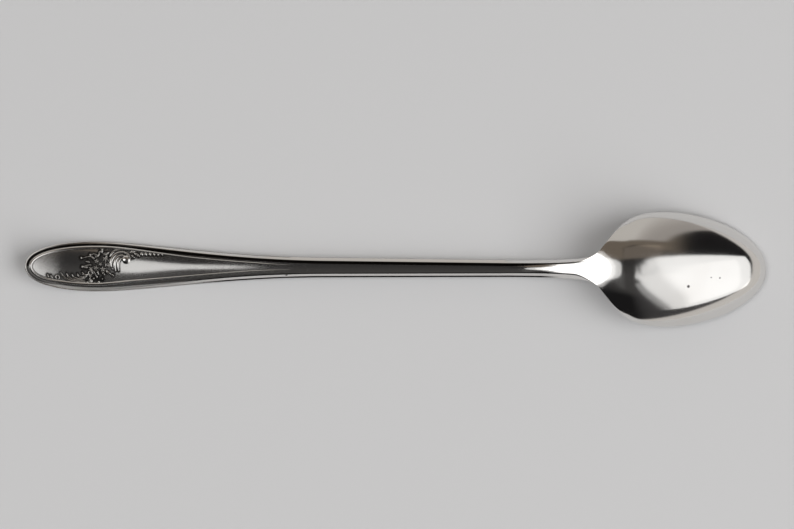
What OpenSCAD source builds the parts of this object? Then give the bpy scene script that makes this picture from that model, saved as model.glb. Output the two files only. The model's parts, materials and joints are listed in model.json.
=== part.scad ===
// Iced tea spoon lying face down, bowl tip and stem on the table.
// x runs from the handle end to the bowl tip, z is up, sizes are in millimetres.

/* [Lengths along the spoon] */
// Handle, from its round end to where the stem begins
handle_l = 78; // [60:1:95]
// Stem, from the handle to the start of the neck
stem_l = 46; // [30:1:70]
// Neck, from the stem to the bowl's shoulders
neck_l = 24.5; // [18:0.5:32]
// Bowl, from its shoulders to its tip
bowl_l = 42; // [34:0.5:50]
// Round end of the handle to its widest place
handle_peak = 18; // [14:0.5:24]
// Bowl tip to its widest place
bowl_peak = 26.5; // [22:0.5:30]
// Shoulders to the crest of the bowl's back
crest_l = 6.8; // [5:0.1:10]

/* [Widths] */
// Widest place of the handle
handle_w = 12.8; // [10:0.1:16]
// Stem where it leaves the handle
stem_w = 5; // [3.6:0.1:6]
// Stem at its narrowest, where the neck begins
stem_waist_w = 4.3; // [3.2:0.1:5]
// Neck where it runs into the bowl's shoulders
neck_w = 13.4; // [11:0.1:16]
// Widest place of the bowl
bowl_w = 29.3; // [24:0.1:34]

/* [Heights and thicknesses] */
// Lift of the handle end above the table
end_lift = 3.3; // [1:0.1:5]
// Lift of the neck's underside above the table
neck_lift = 7.6; // [5:0.1:8.5]
// Handle at its end, border to border
handle_t = 2.1; // [1.95:0.05:3]
// Stem
stem_t = 3.5; // [2.8:0.05:4.2]
// Crest of the bowl's back above the table
crest_h = 11.6; // [10:0.1:14]
// Bowl wall at the crown
bowl_wall = 1.2; // [0.8:0.05:1.8]
// Flat lip around the bowl
lip_w = 1.1; // [0.8:0.05:1.8]
// Upright edge of the lip
lip_h = 0.4; // [0.2:0.05:0.6]
// Depth of the bevel along the back's edges
stem_bevel = 0.8; // [0.3:0.05:1]
// Width of that bevel
bevel_w = 0.86; // [0.5:0.02:1.2]
// Bevel along the front edges
front_bevel = 0.35; // [0.1:0.05:0.5]

/* [Border moulding] */
// Height of the border above the panel, on each face
border_h = 0.35; // [0.2:0.05:0.45]
// Rim band around the edge
rim_band = 0.45; // [0.3:0.05:0.6]
// Groove between the rim band and the thread
groove_w = 0.6; // [0.3:0.05:0.7]
// Thread moulding inside the groove
thread_w = 0.85; // [0.5:0.05:1]
// Crown of the panel across its width, in the middle of the handle
panel_crown = 0.57; // [0.3:0.01:0.9]

/* [Ornament] */
// Height of the scroll's ridges
scroll_h = 0.3; // [0.2:0.05:0.5]
// Height of the blossoms
blossom_h = 0.4; // [0.2:0.05:0.6]
// Height of leaves, stalks and beads
leaf_h = 0.3; // [0.2:0.05:0.5]
// Gap between an ornament and the panel that it is seated on
seat = 0.03; // [0.01:0.01:0.05]

/* [Hidden] */

silver = [0.78, 0.77, 0.75];
old_silver = [0.62, 0.60, 0.57];

// Places along the spoon, measured from the handle end
stem_at = handle_l;
neck_at = stem_at + stem_l;
bowl_at = neck_at + neck_l;
length = bowl_at + bowl_l;
bowl_wide_at = length - bowl_peak;
// The handle end curls up from the table over this length
lift_l = 22;
rest_from = min(lift_l, handle_l);
crest_at = bowl_at + crest_l;
// The dish begins this far from the shoulders
dish_inset = 2;
dish_from = bowl_at + dish_inset;
// The border dies out this far before the stem
border_stop = 10;
border_end = handle_l - border_stop;
// Reach of the curves' handles along the spoon, and the widths that go with them
neck_reach = [1.6, 3.2];
neck_flare = 3.9;
shoulder_reach = [3.7, 9.5];
shoulder_flare = 4.5;
taper_flare = 0.1;
dish_reach = 8.5;
thick_reach = [6, 25];
rise_reach = [12, 7];
rim_reach = [3, 14.5];
rim_hump = 1;
crest_reach = [14, 10, 6, 2.5];
// The bevel along the edges widens up to the second of these places
// It narrows again this far before the shoulders
bevel_reach = [-12, 62];
bevel_fade_reach = [8, 2.5];
// The round bowl begins and is full this far on each side of the shoulders
round_reach = [3, 6];
// Shares of the panel's crown at the handle end and over its two rises
crown_share = [0.3, 0.25, 0.45];
// Places of the rises, and of the fall to the stem
crown_reach = [[8, 30], [28, 42], [48, 75]];
// Crown where the stem becomes the neck, the stem's share of it, and where it rises and falls
strap_crown = 0.35;
stem_crown = 0.15;
strap_reach = [[2, 6], [14.5, 5]];

// Number of points across a section, steps along each stretch, and the first step at a round end
across = 16;
steps_end = 12;
steps_taper = 16;
steps_stem = 8;
steps_neck = 12;
steps_bowl = 14;
first_step = 0.02;

// Curves
function bez(p, t) =
    p[0] * pow(1 - t, 3) + 3 * p[1] * pow(1 - t, 2) * t + 3 * p[2] * (1 - t) * t * t + p[3] * pow(t, 3);
function find_t(p, x, lo = 0, hi = 1, n = 24) =
    n == 0 ? (lo + hi) / 2
    : bez(p, (lo + hi) / 2)[0] < x ? find_t(p, x, (lo + hi) / 2, hi, n - 1)
    : find_t(p, x, lo, (lo + hi) / 2, n - 1);
function height_on(p, x) = bez(p, find_t(p, x))[1];
function ease(a, b, x) =
    let (t = min(1, max(0, (x - a) / (b - a))))
    t * t * (3 - 2 * t);

// Half outline in plan, one curve for each stretch, as distance along and half width
end_curve = [
    [0, 0], [0, 0.36 * handle_w],
    [0.46 * handle_peak, handle_w / 2], [handle_peak, handle_w / 2]
];
taper_curve = [
    [handle_peak, handle_w / 2], [handle_peak + 0.2 * (handle_l - handle_peak), handle_w / 2],
    [handle_l - 0.45 * (handle_l - handle_peak), stem_w / 2 + taper_flare], [handle_l, stem_w / 2]
];
neck_curve = [
    [neck_at, stem_waist_w / 2], [bowl_at - neck_reach[0], stem_waist_w / 2],
    [bowl_at - neck_reach[1], neck_w / 2 - neck_flare], [bowl_at, neck_w / 2]
];
shoulder_curve = [
    [bowl_at, neck_w / 2], [bowl_at + shoulder_reach[0], neck_w / 2 + shoulder_flare],
    [bowl_wide_at - shoulder_reach[1], bowl_w / 2], [bowl_wide_at, bowl_w / 2]
];
tip_curve = [
    [bowl_wide_at, bowl_w / 2], [bowl_wide_at + 0.45 * bowl_peak, bowl_w / 2],
    [length, 0.295 * bowl_w], [length, 0]
];
// Half outline of the dish, inside the lip
dish_rear = [
    [dish_from, 0], [dish_from, 0.31 * bowl_w],
    [bowl_wide_at - dish_reach, bowl_w / 2 - lip_w], [bowl_wide_at, bowl_w / 2 - lip_w]
];
dish_tip = [
    [bowl_wide_at, bowl_w / 2 - lip_w], [bowl_wide_at + 0.45 * bowl_peak, bowl_w / 2 - lip_w],
    [length - lip_w, 0.28 * bowl_w], [length - lip_w, 0]
];

function half_width(s) =
    s < handle_peak ? height_on(end_curve, s)
    : s < stem_at ? height_on(taper_curve, s)
    : s < neck_at ? stem_w / 2 + (stem_waist_w - stem_w) / 2 * (s - stem_at) / stem_l
    : s < bowl_at ? height_on(neck_curve, s)
    : s < bowl_wide_at ? height_on(shoulder_curve, s)
    : height_on(tip_curve, s);

// Side profile: the underside, with the rim of the bowl, and the crest of the back
neck_rise = [
    [neck_at, 0], [neck_at + rise_reach[0], 0],
    [bowl_at - rise_reach[1], neck_lift], [bowl_at, neck_lift]
];
rim_fall = [
    [bowl_at, neck_lift], [bowl_at + rim_reach[0], neck_lift],
    [length - rim_reach[1], rim_hump], [length, 0]
];
function underside(s) =
    s < rest_from ? end_lift * pow(1 - s / rest_from, 2)
    : s < neck_at ? 0
    : s < bowl_at ? height_on(neck_rise, s)
    : height_on(rim_fall, min(s, length));
thick_curve = [
    [rest_from, handle_t], [rest_from + thick_reach[0], handle_t],
    [stem_at - thick_reach[1], stem_t], [stem_at, stem_t]
];
crest_rise = [
    [neck_at, stem_t], [neck_at + crest_reach[0], stem_t],
    [crest_at - crest_reach[1], crest_h], [crest_at, crest_h]
];
crest_fall = [
    [crest_at, crest_h], [crest_at + crest_reach[2], crest_h],
    [length - crest_reach[3], 0.68 * crest_h], [length, 2 * lip_h]
];
function thickness(s) =
    s < rest_from ? handle_t
    : s < stem_at ? height_on(thick_curve, s)
    : s < neck_at ? stem_t
    : height_on(s < crest_at ? crest_rise : crest_fall, s) - underside(s);
// The dish is the wall's thickness inside the back, and rounds up to the lip at both ends
dish_round = 7;
function rounded(d) = let (u = min(1, max(0, d / dish_round))) sqrt(1 - (1 - u) * (1 - u));
function dish_height(s) =
    (thickness(s) - bowl_wall) * rounded(s - dish_from) * rounded(length - lip_w - s);

// Section of the bowl, 1 on the centre line and 0 at the edges
function bowl_shape(q) = pow(1 - pow(abs(q), 2.8), 0.85);
// Share of the round bowl in a section; the rest is the plate of the handle, stem and neck
function bowl_share(s) = ease(bowl_at - round_reach[0], bowl_at + round_reach[1], s);
function border(s) = border_h * (1 - ease(0.55 * handle_l, handle_l, s));
// Drop of the back below its centre line, for each of the three kinds of section
function reached(r, s) = ease(r[0], r[1], s);
function crown_rise(s) =
    crown_share[0]
    + crown_share[1] * reached(crown_reach[0], s)
    + crown_share[2] * reached(crown_reach[1], s);
function crown(s) = panel_crown * crown_rise(s) * (1 - reached(crown_reach[2], s));
function panel_drop(s, w, q) = crown(s) * pow(2 * w * q / handle_w, 2);
function bowl_drop(s, q) = (thickness(s) - lip_h) * (1 - bowl_shape(q));
function hump(s) =
    ease(neck_at - strap_reach[0][0], neck_at + strap_reach[0][1], s)
    * (1 - ease(bowl_at - strap_reach[1][0], bowl_at - strap_reach[1][1], s));
function strap_drop(s, q) = strap_crown * (stem_crown + (1 - stem_crown) * hump(s)) * q * q;
// Drop of the bevel along the edges
function bevel_share(s) =
    reached(bevel_reach, s)
    * (1 - ease(bowl_at - bevel_fade_reach[0], bowl_at - bevel_fade_reach[1], s));
function bevel_drop(s, w, q) = stem_bevel * max(0, bevel_share(s) - (1 - abs(q)) * w / bevel_w);

function front_z(s) = underside(s) + border(s);
function back_z(s, w, q) =
    let (b = bowl_share(s))
    underside(s) + thickness(s) - border(s) - bevel_drop(s, w, q)
    - panel_drop(s, w, q) - b * bowl_drop(s, q) - (1 - b) * strap_drop(s, q);

// One closed section, back from the right edge to the left and then the front
function section(s, w) =
    let (
        x = s - length / 2,
        bevel = min(front_bevel * (1 - 0.6 * bowl_share(s)), 0.4 * w),
        low = front_z(s)
    )
    concat(
        [for (j = [0:across]) let (q = sin(90 * (2 * j / across - 1))) [x, w * q, back_z(s, w, q)]],
        [[x, w, low + bevel], [x, w - bevel, low], [x, -w + bevel, low], [x, -w, low + bevel]]
    );
ring_n = across + 5;
function stations(curve, n, from = 0, to = 1) = [for (i = [0:n]) bez(curve, from + (to - from) * i / n)];
function sections(places) = [for (p = places) section(p[0], p[1])];

// Skin between neighbouring rings, with both ends closed
module loft(rings) {
    n = len(rings[0]);
    last = len(rings) - 1;
    polyhedron(
        points = [for (r = rings) each r],
        faces = concat(
            [[for (j = [n - 1:-1:0]) j]],
            [for (i = [0:last - 1]) for (j = [0:n - 1])
                let (k = (j + 1) % n, a = i * n, b = a + n)
                each [[a + j, a + k, b + k], [a + j, b + k, b + j]]],
            [[for (j = [0:n - 1]) last * n + j]]
        )
    );
}

module handle() {
    color(silver)
    loft(sections(concat(
        stations(end_curve, steps_end, first_step),
        [for (i = [1:steps_taper]) bez(taper_curve, i / steps_taper)]
    )));
}

module stem() {
    color(silver)
    loft(sections([
        for (i = [0:steps_stem]) let (s = stem_at + stem_l * i / steps_stem) [s, half_width(s)]
    ]));
}

module neck() {
    color(silver)
    loft(sections(stations(neck_curve, steps_neck)));
}

// Bowl: back with its lip, the dish inside, and the flat lip between them
module bowl() {
    outer = sections(concat(
        stations(shoulder_curve, steps_bowl),
        [for (i = [1:steps_bowl]) bez(tip_curve, i / steps_bowl * (1 - first_step))]
    ));
    dish = concat(
        stations(dish_rear, steps_bowl),
        [for (i = [1:steps_bowl]) bez(dish_tip, i / steps_bowl)]
    );
    last = 2 * steps_bowl;
    row = across + 1;
    rear = len(outer) * ring_n;
    front = rear + 1;
    dish_points = [for (i = [1:last - 1]) for (j = [0:across])
        let (q = sin(90 * (2 * j / across - 1)), s = dish[i][0])
        [s - length / 2, dish[i][1] * q, underside(s) + dish_height(s) * bowl_shape(q)]];
    right = across + 2;
    left = across + 3;
    function inner(i, j) = i == 0 ? rear : i == last ? front : front + 1 + (i - 1) * row + j;
    color(silver)
    polyhedron(
        points = concat(
            [for (r = outer) each r],
            [[dish_from - length / 2, 0, underside(dish_from)]],
            [[length / 2 - lip_w, 0, underside(length - lip_w)]],
            dish_points
        ),
        faces = concat(
            [[for (j = [ring_n - 1:-1:0]) j]],
            [[for (j = [0:ring_n - 1]) last * ring_n + j]],
            [for (i = [0:last - 1]) for (j = [0:ring_n - 1]) if (j != right)
                let (k = (j + 1) % ring_n, a = i * ring_n, b = a + ring_n)
                each [[a + j, a + k, b + k], [a + j, b + k, b + j]]],
            [for (i = [1:last - 2]) for (j = [0:across - 1])
                each [[inner(i, j), inner(i + 1, j), inner(i + 1, j + 1)],
                    [inner(i, j), inner(i + 1, j + 1), inner(i, j + 1)]]],
            [for (j = [0:across - 1]) [rear, inner(1, j), inner(1, j + 1)]],
            [for (j = [0:across - 1]) [inner(last - 1, j), front, inner(last - 1, j + 1)]],
            [for (i = [0:last - 1])
                let (a = i * ring_n + right, b = a + ring_n)
                each concat(
                    [[inner(i, across), i < last - 1 ? inner(i + 1, across) : front, b]],
                    [[inner(i, across), b, a]]
                )],
            [for (i = [0:last - 1])
                let (a = i * ring_n + left, b = a + ring_n)
                each concat(
                    i > 0 ? [[a, b, inner(i, 0)]] : [[a, b, rear]],
                    [[b, inner(i + 1, 0), inner(i, 0)]]
                )],
            [[left, rear, right]],
            [[last * ring_n + right, front, last * ring_n + left]]
        )
    );
}

// Border mouldings follow the outline round the end of the handle, at an inset from the edge
function inward(curve, t) =
    let (d = bez(curve, min(1, t + 0.01)) - bez(curve, max(0, t - 0.01)))
    [d[1], -d[0]] / norm(d);
border_t = find_t(taper_curve, border_end);
border_side = concat(
    [for (i = [0:steps_end - 1]) let (t = i / steps_end) concat(bez(end_curve, t), inward(end_curve, t))],
    [for (i = [0:steps_taper]) let (t = border_t * i / steps_taper)
        concat(bez(taper_curve, t), inward(taper_curve, t))]
);
// Edge points with their inward directions, from one side of the stem round the end to the other
border_path = concat(
    [for (i = [len(border_side) - 1:-1:0]) let (p = border_side[i]) [p[0], -p[1], p[2], -p[3]]],
    [for (i = [1:len(border_side) - 1]) border_side[i]]
);

// A point on the panel at a height above it; the front face is the same design turned over
function on_face(s, y, h, side) =
    let (w = half_width(max(s, 0.02)), q = max(-1, min(1, y / w)))
    [s - length / 2, side * y, side > 0 ? back_z(s, w, q) + seat + h : front_z(s) - seat - h];

// Moulding with the given inset and width, its profile from the inside out as places across it and heights
module moulding(inset, width, profile, side) {
    rings = [for (p = border_path)
        let (top = border(p[0]) - seat)
        [for (f = profile)
            let (d = inset + width * f[0])
            on_face(max(0, p[0] + p[2] * d), p[1] + p[3] * d, top * f[1], side)]];
    loft(rings);
}

rim_profile = [[1, 0], [0.8, 1], [0.06, 1], [0.03, 0]];
thread_profile = [[1, 0], [0.75, 0.75], [0.5, 1], [0.25, 0.75], [0, 0]];
thread_inset = rim_band + groove_w;

module back_rim() {
    color(silver) moulding(0, rim_band, rim_profile, 1);
}

module back_thread() {
    color(silver) moulding(thread_inset, thread_w, thread_profile, 1);
}

module front_rim() {
    color(silver) moulding(front_bevel, rim_band, rim_profile, -1);
}

module front_thread() {
    color(silver) moulding(thread_inset + front_bevel, thread_w - front_bevel / 2, thread_profile, -1);
}

// The ornament is drawn flat on a panel of these sizes, then laid on the real one
drawn_peak = 18;
drawn_half = 4.4;
panel_margin = 0.1;
// The front's ornament is lower, so that it stays clear of the table
front_relief = 0.5;
function panel_half(s, side) =
    half_width(s) - thread_inset - thread_w - panel_margin - (side > 0 ? 0 : front_bevel);
function lay(p, h, side) =
    let (s = p[0] * handle_peak / drawn_peak)
    on_face(s, p[1] * panel_half(s, side) / drawn_half, side > 0 ? h : h * front_relief, side);

// Rounded ridge along a drawn path, with a width at each of its points
ridge_profile = [[-1, 0], [-0.6, 0.8], [0, 1], [0.6, 0.8], [1, 0]];
module ridge(path, widths, h, side) {
    last = len(path) - 1;
    rings = [for (i = [0:last])
        let (
            d = path[min(last, i + 1)] - path[max(0, i - 1)],
            n = [-d[1], d[0]] / norm(d),
            low = i == 0 || i == last ? 0.5 : 1
        )
        [for (f = ridge_profile) lay(path[i] + n * f[0] * widths[i] / 2, f[1] * h * low, side)]];
    loft(rings);
}

// Rounded mound on a drawn centre, with an oval or lobed outline
mound_rings = [[1, 0], [0.8, 0.65], [0.4, 0.95]];
module mound(centre, a, b, turn, h, side, lobes = 0, cut = 0, n = 10) {
    rings = len(mound_rings);
    function outline(angle) =
        let (r = 1 - cut * (1 - cos(lobes * angle)) / 2)
        [a * r * cos(angle), b * r * sin(angle)];
    function turned(p) = [p[0] * cos(turn) - p[1] * sin(turn), p[0] * sin(turn) + p[1] * cos(turn)];
    polyhedron(
        points = concat(
            [lay(centre, 0, side), lay(centre, h, side)],
            [for (f = mound_rings) for (j = [0:n - 1])
                lay(centre + turned(outline(-360 * j / n) * f[0]), h * f[1], side)]
        ),
        faces = concat(
            [for (j = [0:n - 1]) [0, 2 + (j + 1) % n, 2 + j]],
            [for (i = [0:rings - 2]) for (j = [0:n - 1])
                let (k = (j + 1) % n, c = 2 + i * n, d = c + n)
                each [[c + j, c + k, d + k], [c + j, d + k, d + j]]],
            [for (j = [0:n - 1]) let (c = 2 + (rings - 1) * n) [c + j, c + (j + 1) % n, 1]]
        )
    );
}

// Scroll: ridges that fan out from the ball round to the lower end
ball_at = [25.75, 1.75];
ball_r = 1.1;
scroll_from = 45;
scroll_to = 235;
scroll_steps = 12;
scroll_inner = 1.4;
ridge_spread = [0.0045, 0.0085, 0.0125];
module scroll(side) {
    for (g = ridge_spread) {
        angles = [for (i = [0:scroll_steps]) scroll_from + (scroll_to - scroll_from) * i / scroll_steps];
        path = [for (a = angles) ball_at + (scroll_inner + (a - 20) * g) * [cos(a), sin(a)]];
        ridge(path, [for (a = angles) 0.0032 * (a - 20)], scroll_h, side);
    }
}
module scroll_ball(side) {
    mound(ball_at, ball_r, ball_r, 0, 1.5 * scroll_h, side, n = 14);
}

// Blossoms with five lobes, in a spray beside the scroll
blossom_r = 0.8;
blossom_places = [
    [20.6, 3], [19.4, 1.2], [21.2, 0.6], [18, 2.5], [17.2, 0], [18.8, -0.8], [16.4, -1.7], [20.4, -1.4]
];
module blossoms(side) {
    for (i = [0:len(blossom_places) - 1])
        mound(
            blossom_places[i], blossom_r, blossom_r, 25 * i, blossom_h, side, lobes = 5, cut = 0.35, n = 15
        );
}

// Leaf fan: strokes that sweep from the panel round along the border
fan_strokes = 5;
fan_steps = 6;
module leaf_fan(side) {
    for (i = [0:fan_strokes - 1]) {
        tip = [9.4 + 1.15 * i, -1.5];
        root = [15.3, -3.9 + 0.45 * i];
        knee = [tip[0] + 0.7, root[1] - 0.1];
        path = [for (k = [0:fan_steps]) let (t = k / fan_steps)
            tip * pow(1 - t, 2) + knee * 2 * t * (1 - t) + root * t * t];
        ridge(path, [for (k = [0:fan_steps]) 0.12 + 0.22 * sin(180 * k / fan_steps)], leaf_h, side);
    }
}

module back_scroll() {
    color(old_silver) scroll(1);
}

module back_scroll_ball() {
    color(old_silver) scroll_ball(1);
}

scroll_leaf_places = [[27.5, 3.6, 15], [28.6, 3, -20], [27.6, 2.4, -35]];
module back_scroll_leaves() {
    color(old_silver)
    for (p = scroll_leaf_places) mound([p[0], p[1]], 0.55, 0.27, p[2], leaf_h, 1);
}

bead_count = 6;
bead_r = 0.42;
module back_bead_row() {
    color(old_silver)
    for (i = [0:bead_count - 1])
        let (r = bead_r - 0.03 * i)
        mound([30 + 1.05 * i, 3.55], r, r, 0, leaf_h, 1);
}

module back_blossoms() {
    color(old_silver) blossoms(1);
}

// Stalks run from the blossoms out to the small buds, as root and tip
stalk_places = [
    [[17, 2.4], [14.6, 2.2]], [[16.2, 0.1], [14.6, 0.3]], [[18.3, 3.5], [17.4, 4]],
    [[15.4, -1.6], [13.9, -0.9]], [[21.3, -1.9], [22.4, -2.7]]
];
module back_stalks() {
    color(old_silver)
    for (p = stalk_places) {
        path = [for (t = [0:0.25:1]) p[0] + (p[1] - p[0]) * t + [0, 0.25 * sin(180 * t)]];
        ridge(path, [for (t = [0:0.25:1]) 0.28 - 0.12 * t], leaf_h * 0.8, 1);
    }
}

bud_places = [
    [14.1, 2.2, 0.32], [14.1, 0.3, 0.3], [16.9, 4, 0.3], [13.4, -0.7, 0.28], [22.9, -3, 0.35],
    [16.6, -3.3, 0.45], [17.9, -3.9, 0.28], [18.6, -2.7, 0.4], [19.9, -3.5, 0.3]
];
module back_buds() {
    color(old_silver)
    for (p = bud_places) mound([p[0], p[1]], p[2], p[2] * 0.85, 30, leaf_h, 1);
}

module back_leaf_fan() {
    color(old_silver) leaf_fan(1);
}

// Small scroll at the end of the spray, with two short strokes beyond it
end_scroll_at = [7.9, -3.2];
module back_end_scroll() {
    angles = [for (i = [0:8]) -40 + 38 * i];
    color(old_silver) {
        ridge(
            [for (a = angles) end_scroll_at + (0.75 - 0.0016 * (a + 40)) * [cos(a), sin(a)]],
            [for (a = angles) 0.24], leaf_h, 1
        );
        for (x = [5.4, 6.2])
            ridge([[x, -2.6], [x + 0.2, -3.1], [x + 0.6, -3.6]], [0.14, 0.28, 0.16], leaf_h, 1);
    }
}

module front_scroll() {
    color(old_silver) {
        scroll(-1);
        scroll_ball(-1);
    }
}

module front_blossoms() {
    color(old_silver) blossoms(-1);
}

module front_leaf_fan() {
    color(old_silver) leaf_fan(-1);
}

bowl();
neck();
stem();
handle();
back_rim();
back_thread();
front_rim();
front_thread();
back_scroll();
back_scroll_ball();
back_scroll_leaves();
back_bead_row();
back_blossoms();
back_stalks();
back_buds();
back_leaf_fan();
back_end_scroll();
front_scroll();
front_blossoms();
front_leaf_fan();
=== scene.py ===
"""Iced tea spoon lying face down: polished silver with a bordered handle, a scroll and a blossom spray."""
import json
import math

import bmesh
import bpy
import numpy as np
from bpy.props import FloatProperty, FloatVectorProperty, PointerProperty
from bpy.types import Operator, Panel, PropertyGroup
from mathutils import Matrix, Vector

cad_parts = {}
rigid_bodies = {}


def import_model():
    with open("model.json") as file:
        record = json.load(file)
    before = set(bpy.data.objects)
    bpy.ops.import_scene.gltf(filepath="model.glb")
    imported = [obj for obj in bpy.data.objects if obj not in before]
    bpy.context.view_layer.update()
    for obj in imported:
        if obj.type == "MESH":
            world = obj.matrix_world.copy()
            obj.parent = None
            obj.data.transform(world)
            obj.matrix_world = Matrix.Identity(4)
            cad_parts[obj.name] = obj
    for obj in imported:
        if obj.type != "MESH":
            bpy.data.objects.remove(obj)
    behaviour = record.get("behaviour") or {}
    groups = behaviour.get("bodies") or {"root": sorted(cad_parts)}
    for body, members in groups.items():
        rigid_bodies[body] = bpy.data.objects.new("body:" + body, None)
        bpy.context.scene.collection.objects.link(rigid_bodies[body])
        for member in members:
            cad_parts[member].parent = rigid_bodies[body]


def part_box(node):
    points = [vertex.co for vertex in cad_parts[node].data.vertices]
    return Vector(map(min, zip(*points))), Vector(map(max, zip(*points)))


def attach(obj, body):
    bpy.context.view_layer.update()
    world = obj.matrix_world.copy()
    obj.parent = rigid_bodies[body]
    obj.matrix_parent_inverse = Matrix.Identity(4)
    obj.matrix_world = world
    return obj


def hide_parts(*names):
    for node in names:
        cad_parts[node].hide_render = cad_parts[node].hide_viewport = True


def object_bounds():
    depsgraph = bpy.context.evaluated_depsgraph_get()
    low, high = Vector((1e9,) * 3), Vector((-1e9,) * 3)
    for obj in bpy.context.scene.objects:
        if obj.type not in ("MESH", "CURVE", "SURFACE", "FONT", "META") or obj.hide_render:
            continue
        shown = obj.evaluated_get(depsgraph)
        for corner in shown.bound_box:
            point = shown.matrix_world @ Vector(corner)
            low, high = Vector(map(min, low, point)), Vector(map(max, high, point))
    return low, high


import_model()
cad_low, cad_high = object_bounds()

bl_info = {
    "name": "Iced tea spoon",
    "version": (1, 0, 0),
    "blender": (4, 5, 0),
    "location": "3D View > Sidebar > Spoon",
    "description": "Builds a long silver spoon piece by piece, with its stage",
    "category": "Add Mesh",
}

MM = 0.001
BODY = "root"
POLISHED = "silver"
AGED = "old_silver"
# Width of the picture, and the spoon's two ends in it, in pixels
PHOTO_WIDTH = 794
SPOON_FROM, SPOON_TO = 27, 766

# Shares of the panel's crown at the handle end and over its two rises
CROWN_SHARES = (0.3, 0.25, 0.45)
# Places of the rises, and of the fall to the stem
CROWN_REACH = ((8 * MM, 30 * MM), (28 * MM, 42 * MM), (48 * MM, 75 * MM))
# The neck's crown rises past the stem's end, falls before the shoulders, and has this share on the stem
STRAP_RISE, STRAP_FALL, STEM_CROWN = (-2 * MM, 6 * MM), (14.5 * MM, 5 * MM), 0.15
# Width and depth of the bevels on the far and on the near side, against the named sizes
FAR_BEVEL, NEAR_BEVEL = (0.9, 0.9), (1.25, 1.4)
# The bevels widen along the handle, and fade this far before the shoulders
BEVEL_REACH, BEVEL_FADE = (-12 * MM, 62 * MM), (8 * MM, 2.5 * MM)
# The bowl's round section begins before the shoulders and is full after them
ROUND_REACH = (3 * MM, 6 * MM)


def span(node, axis):
    """Size of a solid along one axis, in metres."""
    low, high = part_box(node)
    return high[axis] - low[axis]


def length(name, description, default):
    """A size in metres that a user may change."""
    return FloatProperty(name=name, description=description, default=default, unit="LENGTH", precision=5)


def share(name, description, default):
    """A number from 0 to 1 that a user may change."""
    return FloatProperty(name=name, description=description, default=default, min=0.0, max=1.0)


def tint(name, description, default):
    """A colour that a user may change."""
    return FloatVectorProperty(
        name=name, description=description, default=default, subtype="COLOR", size=3, min=0.0, max=1.0)


class SpoonSizes(PropertyGroup):
    """Sizes of the spoon's body; lengths and widths come from the solids."""

    handle_l: length("Handle", "Round end of the handle to the stem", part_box("stem")[0].x - cad_low.x)
    stem_l: length("Stem", "Stem between handle and neck", span("stem", 0))
    neck_l: length("Neck", "Neck between stem and bowl", span("neck", 0))
    bowl_l: length("Bowl", "Shoulders of the bowl to its tip", cad_high.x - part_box("neck")[1].x)
    handle_peak: length("Handle peak", "Handle end to its widest place", 18 * MM)
    bowl_peak: length("Bowl peak", "Bowl tip to its widest place", 26.5 * MM)
    crest_l: length("Crest", "Shoulders to the crest of the back", 6.8 * MM)
    handle_w: length("Handle width", "Widest place of the handle", span("handle", 1))
    stem_w: length("Stem width", "Stem where it leaves the handle", span("stem", 1))
    waist_w: length("Waist width", "Stem where the neck begins", 4.3 * MM)
    neck_w: length("Neck width", "Neck where it meets the bowl", span("neck", 1))
    bowl_w: length("Bowl width", "Widest place of the bowl", span("bowl", 1))
    end_lift: length("End lift", "Handle end above the table", 3.3 * MM)
    neck_lift: length("Neck lift", "Neck above the table", 7.6 * MM)
    handle_t: length("Handle thickness", "Handle at its end, border to border", 2.1 * MM)
    stem_t: length("Stem thickness", "Stem", 3.5 * MM)
    crest_h: length("Crest height", "Crest of the back above the table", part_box("bowl")[1].z)
    wall: length("Bowl wall", "Wall at the crown", 1.2 * MM)
    lip_w: length("Lip width", "Flat lip around the bowl", 1.1 * MM)
    lip_h: length("Lip edge", "Upright edge of the lip", 0.4 * MM)
    stem_bevel: length("Stem bevel", "Depth of the bevels on the stem's back", 0.8 * MM)
    bevel_w: length("Bevel width", "Width of the bevels on the stem's back", 0.86 * MM)
    strap_crown: length("Neck crown", "Crown of the neck across its width", 0.35 * MM)
    front_bevel: length("Front bevel", "Rounding of the front edges", 0.35 * MM)


class SpoonOrnament(PropertyGroup):
    """Sizes of the border mouldings and of the ornament."""

    border_h: length("Border height", "Border above the panel", 0.35 * MM)
    rim_band: length("Rim band", "Width of the outer band", 0.45 * MM)
    groove_w: length("Groove", "Groove between band and thread", 0.6 * MM)
    thread_w: length("Thread", "Width of the inner thread", 0.85 * MM)
    crown: length("Panel crown", "Crown of the panel across its width", 0.57 * MM)
    scroll_h: length("Scroll height", "Height of the scroll's ridges", 0.3 * MM)
    blossom_h: length("Blossom height", "Height of the blossoms", 0.4 * MM)
    leaf_h: length("Leaf height", "Height of leaves, stalks and beads", 0.3 * MM)
    front_relief: share("Front relief", "Height of the front's ornament against the back's", 0.5)


class SpoonFinish(PropertyGroup):
    """Colours and polish of the silver."""

    silver: tint("Silver", "Clean metal", (0.80, 0.787, 0.765))
    # Tarnish colour, also used as painted shade along the edges, at the feet of the ornament and round it
    tarnish_and_shade_tint: tint("Tarnish", "Dark metal in the recesses", (0.014, 0.012, 0.011))
    pit: tint("Pit", "Worn spots on the bowl", (0.30, 0.22, 0.16))
    floor: tint("Table", "Plain pale table", (0.60, 0.60, 0.605))
    polish: share("Roughness", "Roughness of the polished metal", 0.08)


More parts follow.
